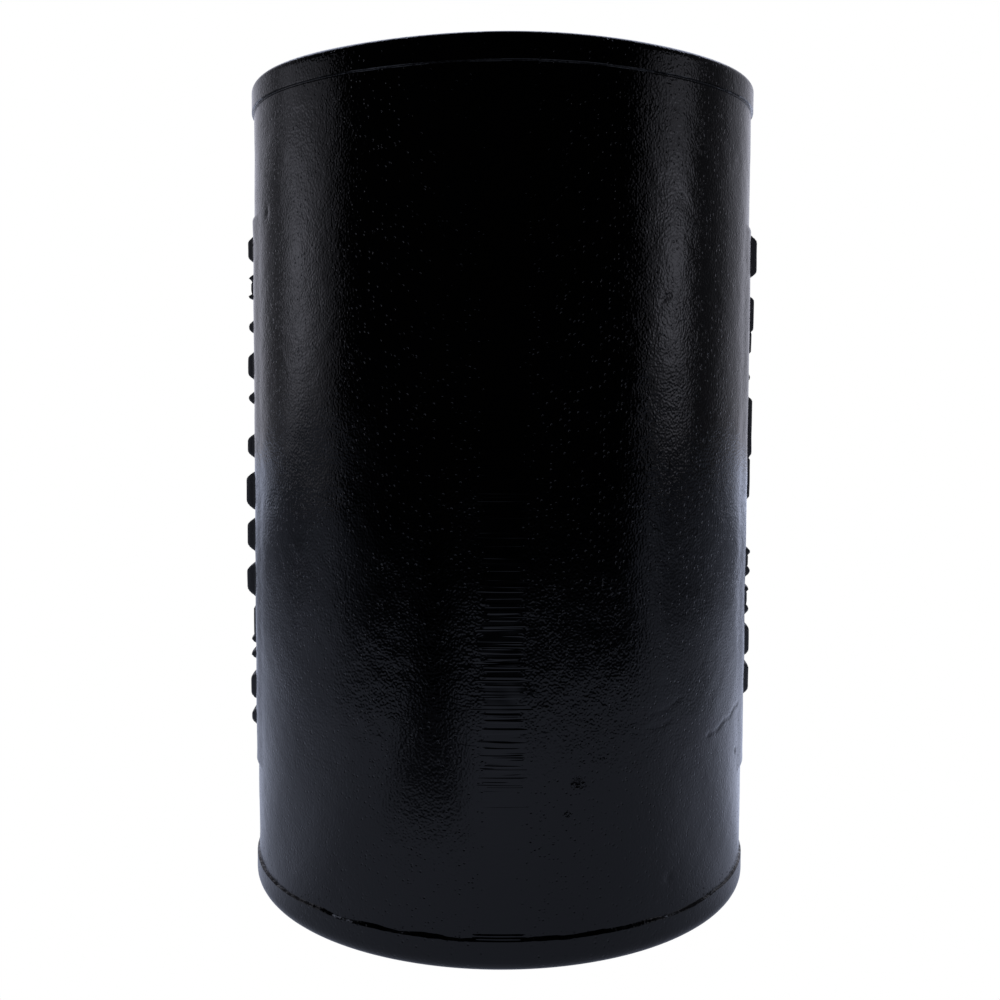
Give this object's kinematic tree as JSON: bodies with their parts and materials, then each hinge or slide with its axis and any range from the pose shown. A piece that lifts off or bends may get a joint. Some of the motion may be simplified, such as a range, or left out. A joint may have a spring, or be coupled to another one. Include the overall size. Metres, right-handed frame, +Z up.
{
  "type": "rock tumbler barrel",
  "caption": "Tall black moulded-rubber tumbling barrel with banded ends and a hexagonal chamber, closed by a rubber plug lid, clamp plate and wing nut.",
  "frame": {"origin": "centre of the closed end, on the surface the barrel stands on", "axes": "+Z up along the barrel's axis towards the mouth; the mould seam faces -Y and +Y, the raised marks face -X and +X"},
  "size_m": [0.1966, 0.19, 0.3],
  "materials": {
    "barrel_rubber": "glossy wet-look black, finely pebbled skin",
    "lid_rubber": "satin black",
    "zinc_steel": "bright zinc plate"
  },
  "bodies": {
    "barrel": {"barrel_body": "barrel_rubber"},
    "lid": {"lid_plug": "lid_rubber", "pressure_disc": "zinc_steel", "closure_bolt": "zinc_steel", "bolt_head_seal": "lid_rubber"},
    "clamp_plate": {"outer_lid_plate": "zinc_steel", "bolt_o_ring": "lid_rubber"},
    "washer": {"flat_washer": "zinc_steel"},
    "nut": {"wing_nut": "zinc_steel"}
  },
  "joints": [
    {"name": "lid_lift", "type": "slide", "parent": "barrel", "child": "lid", "axis": [0, 0, 1], "range_m": [0, 0.12]},
    {"name": "plate_lift", "type": "slide", "parent": "lid", "child": "clamp_plate", "axis": [0, 0, 1], "range_m": [0, 0.05]},
    {"name": "washer_travel", "type": "slide", "parent": "clamp_plate", "child": "washer", "axis": [0, 0, 1], "range_m": [0, 0.0135]},
    {"name": "nut_turn", "type": "hinge", "parent": "washer", "child": "nut", "pos_m": [0, 0, 0.2817], "axis": [0, 0, 1], "range_deg": [0, 3240]}
  ],
  "couplings": [
    {"joint": "washer_travel", "follows": "nut_turn", "m_per_rad": 0.00023873}
  ]
}
